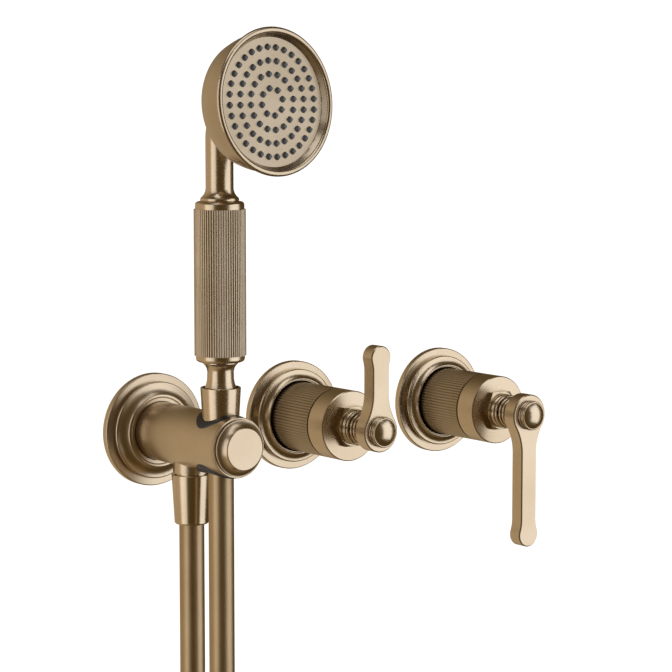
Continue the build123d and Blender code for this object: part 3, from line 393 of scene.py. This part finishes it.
def shared_group(build):
    """Builds a group once and gives it again afterwards."""
    name = build.__name__.removesuffix("_group")
    return bpy.data.node_groups.get(name) or build()


# ---------------------------------------------------------------- finishes
def opaque(colour):
    """A colour with full alpha."""
    return (*colour, 1)


def shaded(colour, share):
    """The same hue at a share of its strength."""
    return [share * part for part in colour]


def set_colours(mix, first, second):
    """Sets the two colours of a Mix node."""
    mix.inputs["A"].default_value = opaque(first)
    mix.inputs["B"].default_value = opaque(second)


def placed_coordinates(tree, centre, turn):
    """Object coordinates moved so that centre is the origin and turned so that the piece's axis is Z."""
    coords = tree.nodes.new("ShaderNodeTexCoord")
    moved = add_node(tree, "ShaderNodeVectorMath", operation="SUBTRACT")
    moved.inputs[1].default_value = centre
    tree.links.new(coords.outputs["Object"], moved.inputs[0])
    turned = add_node(tree, "ShaderNodeMapping")
    turned.inputs["Rotation"].default_value = turn
    tree.links.new(moved.outputs[0], turned.inputs["Vector"])
    return turned.outputs[0]


def blank_material(name, roughness, metallic=0.0):
    """A material with its shader set; gives the material, its tree and the shader."""
    material = bpy.data.materials.new(name)
    material.use_nodes = True
    shader = material.node_tree.nodes["Principled BSDF"]
    shader.inputs["Roughness"].default_value = roughness
    shader.inputs["Metallic"].default_value = metallic
    return material, material.node_tree, shader


def metal(name, light, deep, roughness, centre, turn,
          grain="turned", depth=0.022, run=3, fineness=2200):
    """Brushed metal whose fine lines follow how the piece was finished."""
    material, tree, shader = blank_material(name, roughness, metallic=1.0)
    link = tree.links.new
    place = placed_coordinates(tree, centre, turn)
    build = turned_grain_group if grain == "turned" else straight_grain_group
    lines = group_node(tree, shared_group(build), Fineness=fineness, Run=run)
    link(place, lines.inputs["Place"])
    tone = group_node(tree, shared_group(tone_drift_group), Light=opaque(light), Deep=opaque(deep))
    link(place, tone.inputs["Place"])
    link(tone.outputs["Colour"], shader.inputs["Base Color"])
    gloss = map_range(tree, lines.outputs["Grain"], 0.25, 0.75,
                      roughness - GLOSS_SWING, roughness + GLOSS_SWING)
    link(gloss.outputs[0], shader.inputs["Roughness"])
    raise_surface(tree, lines.outputs["Grain"], depth, GRAIN_HEIGHT, shader.inputs["Normal"])
    return material


def machined(name, colour, centre, turn):
    """Bare brass as it comes off the lathe."""
    return metal(name, colour, shaded(colour, 0.8), MACHINED_ROUGHNESS, centre, turn,
                 fineness=MACHINED_FINENESS)


def cut_thread(material, axis):
    """Adds a pipe thread's ridges to the behind-wall end of a turned piece."""
    tree = material.node_tree
    grain = next(node for node in tree.nodes if node.type == "BUMP")
    place = placed_coordinates(tree, (axis.x, 0, axis.z), ORIGIN)
    ridges = group_node(tree, shared_group(thread_wave_group), Pitch=THREAD_PITCH)
    tree.links.new(place, ridges.inputs["Place"])
    raise_surface(tree, ridges.outputs["Height"], 1.0, THREAD_HEIGHT, grain.inputs["Normal"])


def moulded(name, colour, roughness, depth=0.25, coat=0.0):
    """Moulded plastic, rubber or silicone with a fine pitted skin and a slight drift of tone."""
    material, tree, shader = blank_material(name, roughness)
    link = tree.links.new
    place = placed_coordinates(tree, ORIGIN, ORIGIN)
    tone = group_node(tree, shared_group(tone_drift_group),
                      Light=opaque(colour), Deep=opaque(shaded(colour, 0.75)))
    link(place, tone.inputs["Place"])
    link(tone.outputs["Colour"], shader.inputs["Base Color"])
    skin = add_node(tree, "ShaderNodeTexNoise", scale=SKIN_FINENESS, detail=2)
    link(place, skin.inputs["Vector"])
    gloss = map_range(tree, skin.outputs[0], 0.0, 1.0,
                      roughness - SKIN_GLOSS_SWING, roughness + SKIN_GLOSS_SWING)
    link(gloss.outputs[0], shader.inputs["Roughness"])
    raise_surface(tree, skin.outputs[0], depth, SKIN_HEIGHT, shader.inputs["Normal"])
    shader.inputs["Coat Weight"].default_value = coat
    return material


def woven_strap(name):
    """Black nylon webbing: a fine over-and-under weave."""
    material, tree, shader = blank_material(name, 0.75)
    link = tree.links.new
    place = placed_coordinates(tree, ORIGIN, ORIGIN)
    waves = []
    for direction in ("X", "Y"):
        wave = add_node(tree, "ShaderNodeTexWave", bands_direction=direction, scale=WEAVE_SCALE)
        link(place, wave.inputs["Vector"])
        waves.append(wave.outputs["Fac"])
    weave = math_node(tree, "MULTIPLY", *waves)
    tone = add_node(tree, "ShaderNodeMix", data_type="RGBA")
    set_colours(tone, (0.008, 0.008, 0.009), (0.035, 0.035, 0.038))
    link(weave, tone.inputs["Factor"])
    link(tone.outputs["Result"], shader.inputs["Base Color"])
    raise_surface(tree, weave, 0.5, WEAVE_HEIGHT, shader.inputs["Normal"])
    return material


def give(material, *names):
    """Puts a material on CAD nodes or pieces."""
    for name in names:
        piece = bpy.data.objects[name]
        if not piece.material_slots:
            piece.data.materials.append(None)
        piece.material_slots[0].material = material


class BATHSET_OT_finishes(bpy.types.Operator):
    """Give every carried-over piece its finish"""

    bl_idname = "bathset.finishes"
    bl_label = "Finishes"

    def execute(self, context):
        look = context.scene.bath_finish
        light, deep, rough = look.bronze_light, look.bronze_deep, look.bronze_roughness
        self.valve_finishes(look, light, deep, rough)

        arm = metal("bronze_arm", light, deep, rough + 0.04, ARM_AXIS, LIE_DOWN)
        give(arm, "outlet_flange", "arm_body", "arm_end_cap")
        outlet = metal("bronze_outlet", light, deep, rough - 0.04, OUTLET_AXIS, UPRIGHT, depth=0.012)
        give(outlet, "outlet_hose_nut", "outlet_nipple")
        handset = metal("bronze_handset", light, deep, rough - 0.02, HOLDER_AXIS, UPRIGHT, depth=0.015)
        give(handset, "hand_hose_nut", "lower_neck", "lower_ferrule", "upper_ferrule", "swan_neck")
        # painted shade: the fluted grip is a darker copy of the trim's bronze, its tones cut to 0.80 and
        # 0.76
        grip = metal("bronze_grip_painted_shade", shaded(light, 0.80), shaded(deep, 0.76), rough + 0.05,
                     HOLDER_AXIS, UPRIGHT, grain="straight", run=60)
        give(grip, "grip_sleeve")
        # painted shade: the head's rim and shell are a darker copy of the trim's bronze, its tones cut to
        # 0.90 and 0.86
        head = metal("bronze_head_painted_shade", shaded(light, 0.90), shaded(deep, 0.86), rough,
                     HEAD_AXIS, HEAD_LEAN, depth=0.004)
        give(head, "head_rim", "head_shell")
        # painted shade: the spray plate, set deep inside the head's rim, is a darker copy of the trim's
        # bronze, its tones cut to 0.72 and 0.68
        plate = metal("bronze_spray_plate_painted_shade", shaded(light, 0.72), shaded(deep, 0.68), rough + 0.08,
                      HEAD_AXIS, HEAD_LEAN, depth=0.08)
        give(plate, "spray_plate")

        brass = look.brass_colour
        inner = machined("machined_brass_arm", brass, ARM_AXIS, LIE_DOWN)
        cut_thread(inner, ARM_AXIS)
        give(inner, "wall_inlet_nipple")
        upright = machined("machined_brass_upright", brass, OUTLET_AXIS, UPRIGHT)
        give(upright, "outlet_hose_insert")
        riser = machined("machined_brass_handset", brass, HOLDER_AXIS, UPRIGHT)
        give(riser, "hand_hose_insert", "grip_tube")
        steel = metal("stainless", look.steel_colour, shaded(look.steel_colour, 0.85), 0.22,
                      OUTLET_AXIS, UPRIGHT)
        give(steel, "check_valve_spring", "arm_grub_screw")

        liner = moulded("liner_plastic", look.liner_colour, 0.42)
        give(liner, "holder_liner")
        nozzle = moulded("nozzle_silicone", look.nozzle_colour, 0.42, depth=0.1)
        give(nozzle, "nozzle_mat")
        rubber = moulded("washer_rubber", look.rubber_colour, 0.6)
        give(rubber, "outlet_wall_gasket", "diverter_wall_gasket", "mixer_wall_gasket",
             "outlet_hose_washer", "hand_hose_washer", "head_seal", "diverter_seals", "mixer_seals")
        white = moulded("valve_plastic", look.white_colour, 0.4)
        give(white, "check_valve_housing", "check_valve_poppet", "flow_limiter")
        ceramic = moulded("disc_ceramic", look.ceramic_colour, 0.18, depth=0.02, coat=0.6)
        give(ceramic, "diverter_fixed_disc", "diverter_turning_disc",
             "mixer_fixed_disc", "mixer_turning_disc")
        return {"FINISHED"}

    def valve_finishes(self, look, light, deep, rough):
        """The trim of both valves, each brushed round its own axis, with levers brushed along."""
        for valve, centre in (("diverter", DIVERTER_AXIS), ("mixer", MIXER_AXIS)):
            trim = metal(f"bronze_{valve}", light, deep, rough, centre, LIE_DOWN, depth=0.015)
            give(trim, f"{valve}_flange", f"{valve}_front_cap")
            crisp = metal(f"bronze_{valve}_fittings", light, deep, rough - 0.02,
                          centre, LIE_DOWN, depth=0.01)
            give(crisp, f"{valve}_gland_nut", f"{valve}_spindle", f"{valve}_lever_collar",
                 f"{valve}_cap_nut")
            # painted shade: the reeded sleeve is a darker copy of the trim's bronze, its tones cut to
            # 0.66 and 0.62 for the shade between the reeds
            reeded = metal(f"bronze_{valve}_reeds_painted_shade", shaded(light, 0.66), shaded(deep, 0.62), rough + 0.05,
                           centre, UPRIGHT, grain="straight")
            give(reeded, f"{valve}_reeded_sleeve")
            lever = metal(f"bronze_{valve}_lever", light, deep, rough + 0.02,
                          centre, UPRIGHT, grain="straight")
            give(lever, f"{valve}_lever")
            inner = machined(f"machined_brass_{valve}", look.brass_colour, centre, LIE_DOWN)
            cut_thread(inner, centre)
            give(inner, f"{valve}_cartridge_body")


# ---------------------------------------------------------------- hose
def only(piece):
    """Selects one object alone and makes it active."""
    bpy.ops.object.select_all(action="DESELECT")
    piece.select_set(True)
    bpy.context.view_layer.objects.active = piece


def pick_nothing(kind):
    """Clears the active mesh's selection of faces or vertices and leaves it in object mode."""
    bpy.ops.object.mode_set(mode="EDIT")
    bpy.ops.mesh.select_mode(type=kind)
    bpy.ops.mesh.select_all(action="DESELECT")
    bpy.ops.object.mode_set(mode="OBJECT")


def hose_route(settings):
    """Control points of the whole hose: fall, coil, rise."""
    step = 360 / settings.points_per_turn
    inset = (1 + math.cos(math.radians(step / 2))) / 2
    reach = settings.coil_radius / inset * COIL_SPREAD
    depth_span = RISE_DEPTH - FALL_DEPTH
    coil = []
    for number in range(int(COIL_SWEEP / step)):
        turned = (number + 0.5) * step
        angle = math.radians(COIL_FIRST_ANGLE + turned)
        coil.append((
            COIL_CENTRE.x + reach * math.cos(angle),
            FALL_DEPTH + depth_span * turned / COIL_SWEEP,
            COIL_CENTRE.z + reach * math.sin(angle)))
    return FALL_POINTS + coil + RISE_POINTS


def spline_object(name, points):
    """A NURBS curve that is steered by the points and starts and ends on the outer two."""
    curve = bpy.data.curves.new(name, "CURVE")
    curve.dimensions = "3D"
    curve.resolution_u = 10
    spline = curve.splines.new("NURBS")
    spline.points.add(len(points) - 1)
    for point, place in zip(spline.points, points):
        point.co = (*place, 1)
    spline.order_u = 3
    spline.use_endpoint_u = True
    made = bpy.data.objects.new(name, curve)
    bpy.context.collection.objects.link(made)
    return made


def centreline(route):
    """Points along a curve that has no bevel."""
    mesh = bpy.data.meshes.new_from_object(route)
    points = [vertex.co.copy() for vertex in mesh.vertices]
    bpy.data.meshes.remove(mesh)
    return points


class BATHSET_OT_hose(bpy.types.Operator):
    """Make the hose: a fall and coil that stay, and a riser up to the hand shower as a piece of its own
    """

    bl_idname = "bathset.hose"
    bl_label = "Hose"

    def execute(self, context):
        settings = context.scene.bath_hose
        route = spline_object("hose_lower", hose_route(settings))
        line = centreline(route)
        split = max(i for i, point in enumerate(line) if point.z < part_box("hose_rise")[0].z)
        route.data.bevel_depth = settings.diameter / 2
        route.data.bevel_resolution = 10
        only(route)
        bpy.ops.object.convert(target="MESH")
        lower = context.object
        pick_nothing("FACE")

        middles = KDTree(len(line) - 1)
        for number, (before, after) in enumerate(zip(line, line[1:])):
            middles.insert((before + after) / 2, number)
        middles.balance()
        for face in lower.data.polygons:
            face.select = middles.find(face.center)[1] >= split
        bpy.ops.object.mode_set(mode="EDIT")
        bpy.ops.mesh.separate(type="SELECTED")
        bpy.ops.object.mode_set(mode="OBJECT")
        riser = next(piece for piece in context.selected_objects if piece != lower)
        riser.name = "hose_riser"
        for piece in (lower, riser):
            only(piece)
            bpy.ops.object.shade_smooth()

        look = context.scene.bath_finish
        skin = metal("hose_skin", look.hose_light, look.hose_deep, HOSE_ROUGHNESS,
                     OUTLET_AXIS, UPRIGHT, grain="straight", run=30, depth=0.05)
        give(skin, lower.name, riser.name)
        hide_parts("hose_fall", "hose_coil")
        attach(lower, "root")
        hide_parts("hose_rise")
        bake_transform(riser)
        return {"FINISHED"}


class BATHSET_OT_hose_strap(bpy.types.Operator):
    """Make the woven strap that ties the turns of the hose's coil together"""

    bl_idname = "bathset.hose_strap"
    bl_label = "Hose strap"

    def execute(self, context):
        settings = context.scene.bath_hose
        bottom = COIL_CENTRE.z - settings.coil_radius
        depths = [
            depth for across, depth, up in hose_route(settings)
            if abs(across - COIL_CENTRE.x) < settings.coil_radius / 2 and up < COIL_CENTRE.z]
        half_spread = (max(depths) - min(depths)) / 2 - abs(depths[1] - depths[0]) / 2
        middle = (max(depths) + min(depths)) / 2
        radius = settings.diameter / 2 + STRAP_SLACK
        bpy.ops.object.select_all(action="DESELECT")
        bpy.ops.mesh.primitive_cylinder_add(
            vertices=48, radius=radius, depth=settings.strap_width, end_fill_type="NOTHING",
            location=(COIL_CENTRE.x, middle, bottom), rotation=(0, math.radians(90), 0))
        strap = context.object
        strap.name = "hose_strap"
        bpy.ops.object.transform_apply(location=True, rotation=True, scale=True)
        for side in (-1, 1):
            pick_nothing("VERT")
            for vertex in strap.data.vertices:
                vertex.select = side * (vertex.co.y - middle) > radius / 50
            bpy.ops.object.mode_set(mode="EDIT")
            bpy.ops.transform.translate(value=(0, side * half_spread, 0))
            bpy.ops.object.mode_set(mode="OBJECT")
        wall = strap.modifiers.new("wall", "SOLIDIFY")
        wall.thickness = settings.strap_thick
        wall.offset = 1
        bpy.ops.object.modifier_apply(modifier=wall.name)
        soft = strap.modifiers.new("soft_edges", "BEVEL")
        soft.width = settings.strap_thick / 4
        soft.segments = 2
        soft.limit_method = "ANGLE"
        bpy.ops.object.modifier_apply(modifier=soft.name)
        bpy.ops.object.shade_smooth_by_angle(angle=math.radians(40))
        give(woven_strap("strap_webbing"), strap.name)
        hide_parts("hose_tie")
        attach(strap, "root")
        return {"FINISHED"}


# ---------------------------------------------------------------- stage
def aim(piece, target):
    """Turns a light or camera so that it looks at a point."""
    piece.rotation_euler = (Vector(target) - piece.location).to_track_quat("-Z", "Y").to_euler()


def softbox(name, azimuth, elevation, distance, width, height, power):
    """A soft rectangular light. Azimuth 0 is straight out from the wall, positive to the right."""
    data = bpy.data.lights.new(name, "AREA")
    data.shape = "RECTANGLE"
    data.size = width
    data.size_y = height
    data.energy = power
    data.color = LIGHT_TINT
    light = bpy.data.objects.new(name, data)
    turn, rise = math.radians(azimuth), math.radians(elevation)
    centre = (cad_low + cad_high) / 2
    centre.z = 0
    out = Vector((math.sin(turn) * math.cos(rise), -math.cos(turn) * math.cos(rise), math.sin(rise)))
    light.location = centre + distance * out
    aim(light, centre)
    light.visible_camera = False
    bpy.context.collection.objects.link(light)


class BATHSET_OT_studio(bpy.types.Operator):
    """Set up the floor, the soft lights, the room and the camera"""

    bl_idname = "bathset.studio"
    bl_label = "Studio"

    def execute(self, context):
        settings = context.scene.bath_studio
        self.floor(settings)
        softbox("right_window", azimuth=37, elevation=3, distance=1.6, width=1.7, height=2.3, power=17.2)
        softbox("left_window", azimuth=-84, elevation=6, distance=1.7, width=1.25, height=2.2, power=8.8)
        softbox("overhead", azimuth=-20, elevation=72, distance=1.7, width=1.6, height=0.9, power=6.5)
        self.room(context, settings)

        data = bpy.data.cameras.new("camera")
        data.lens = settings.lens
        data.sensor_width = SENSOR_WIDTH
        camera = bpy.data.objects.new("camera", data)
        camera.location = settings.camera_place
        camera.rotation_euler = (math.radians(90) - settings.camera_pitch, 0, -settings.camera_yaw)
        context.collection.objects.link(camera)
        context.scene.camera = camera
        context.scene.view_settings.view_transform = "Standard"
        return {"FINISHED"}

    def floor(self, settings):
        """A wide pale floor under everything."""
        bpy.ops.object.select_all(action="DESELECT")
        low = cad_low.z - settings.floor_drop
        bpy.ops.mesh.primitive_plane_add(size=FLOOR_SIZE, location=(0, 0, low))
        floor = bpy.context.object
        floor.name = "floor"
        material, _, shader = blank_material("floor_paint", 0.8)
        shader.inputs["Base Color"].default_value = (0.88, 0.88, 0.88, 1)
        shader.inputs["Emission Color"].default_value = (1, 1, 1, 1)
        shader.inputs["Emission Strength"].default_value = 1.0
        give(material, floor.name)
        floor.visible_glossy = False

    def room(self, context, settings):
        """A white background that the metal mirrors only as a dim warm room, paler behind on the left."""
        world = bpy.data.worlds.new("room")
        context.scene.world = world
        world.use_nodes = True
        tree = world.node_tree
        dim = tree.nodes["Background"]
        way = tree.nodes.new("ShaderNodeTexCoord")
        side = add_node(tree, "ShaderNodeVectorMath", operation="DOT_PRODUCT")
        side.inputs[1].default_value = PALE_SIDE
        tree.links.new(way.outputs["Generated"], side.inputs[0])
        share = map_range(tree, side.outputs["Value"], 0.0, PALE_REACH)
        share.interpolation_type = "SMOOTHSTEP"
        shade = add_node(tree, "ShaderNodeMix", data_type="RGBA")
        set_colours(shade, settings.room_dark, settings.room_pale)
        tree.links.new(share.outputs[0], shade.inputs["Factor"])
        tree.links.new(shade.outputs["Result"], dim.inputs["Color"])
        white = add_node(tree, "ShaderNodeBackground")
        white.inputs["Color"].default_value = (1, 1, 1, 1)
        white.inputs["Strength"].default_value = WHITE_STRENGTH
        seen = add_node(tree, "ShaderNodeLightPath")
        mix = add_node(tree, "ShaderNodeMixShader")
        tree.links.new(seen.outputs["Is Camera Ray"], mix.inputs[0])
        tree.links.new(dim.outputs[0], mix.inputs[1])
        tree.links.new(white.outputs[0], mix.inputs[2])
        tree.links.new(mix.outputs[0], tree.nodes["World Output"].inputs["Surface"])


# ---------------------------------------------------------------- panel and registration
class BATHSET_PT_panel(bpy.types.Panel):
    """Sidebar panel of the bath set"""

    bl_idname = "BATHSET_PT_panel"
    bl_label = "Wall Bath Set"
    bl_space_type = "VIEW_3D"
    bl_region_type = "UI"
    bl_category = "Bath Set"

    def draw(self, context):
        for operator in OPERATORS:
            self.layout.operator(operator.bl_idname)
        for group in (context.scene.bath_hose, context.scene.bath_finish, context.scene.bath_studio):
            box = self.layout.box()
            for name in group.__annotations__:
                box.prop(group, name)


OPERATORS = (BATHSET_OT_finishes, BATHSET_OT_hose, BATHSET_OT_hose_strap, BATHSET_OT_studio)
SETTINGS = {"bath_hose": HoseSettings, "bath_finish": FinishSettings, "bath_studio": StudioSettings}


def register():
    """Registers the classes and puts the settings on the scene."""
    for made in (*SETTINGS.values(), *OPERATORS, BATHSET_PT_panel):
        bpy.utils.register_class(made)
    for name, group in SETTINGS.items():
        setattr(bpy.types.Scene, name, PointerProperty(type=group))


def unregister():
    """Takes the settings and the classes away again."""
    for name in SETTINGS:
        delattr(bpy.types.Scene, name)
    for made in reversed((*SETTINGS.values(), *OPERATORS, BATHSET_PT_panel)):
        bpy.utils.unregister_class(made)


def main():
    """Makes the whole set."""
    register()
    bpy.ops.bathset.finishes()
    bpy.ops.bathset.hose()
    bpy.ops.bathset.hose_strap()
    bpy.ops.bathset.studio()


if __name__ == "__main__":
    main()
